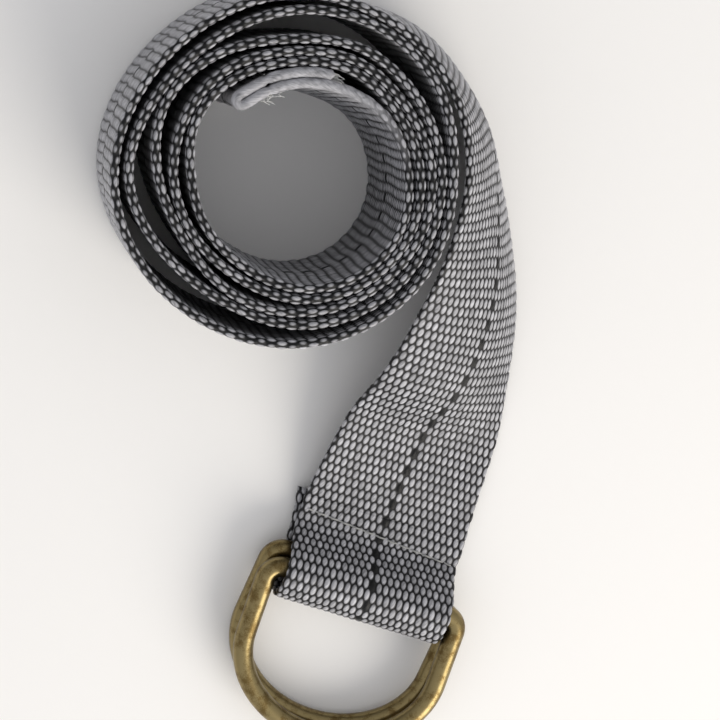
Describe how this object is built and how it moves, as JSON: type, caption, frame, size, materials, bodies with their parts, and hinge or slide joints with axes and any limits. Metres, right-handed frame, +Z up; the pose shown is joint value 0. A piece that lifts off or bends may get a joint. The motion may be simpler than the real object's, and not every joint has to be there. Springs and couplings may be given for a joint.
{
  "type": "stretching strap",
  "caption": "Narrow webbing strap rolled into a standing coil, its free end hemmed and its other end folded and sewn around a pair of D-rings.",
  "frame": {"origin": "middle of the bounding box's bottom, on the table plane under the roll and the rings", "axes": "+Z up from the table; -Y along the flat lead towards the rings, so +Y is the long way; +X across the flat lead, within 4 degrees of both ring bars"},
  "size_m": [0.11, 0.1542, 0.0381],
  "materials": {
    "webbing": "woven grey webbing",
    "ring_metal": "antique brass",
    "thread": "twisted grey thread"
  },
  "bodies": {
    "strap": {"webbing": "webbing", "loop_seam_needle_thread": "thread", "loop_seam_bobbin_thread": "thread", "hem_seam_needle_thread": "thread", "hem_seam_bobbin_thread": "thread"},
    "upper_ring": {"upper_d_ring": "ring_metal"},
    "lower_ring": {"lower_d_ring": "ring_metal"}
  },
  "joints": [
    {"name": "upper_ring_swing", "type": "hinge", "parent": "strap", "child": "upper_ring", "pos_m": [0.03059, -0.04119, 0.00897], "axis": [-0.9999, -0.014, 0], "range_deg": [0, 150]},
    {"name": "lower_ring_swing", "type": "hinge", "parent": "strap", "child": "lower_ring", "pos_m": [0.03104, -0.03989, 0.00445], "axis": [0.9976, -0.0698, 0], "range_deg": [0, 110]}
  ]
}
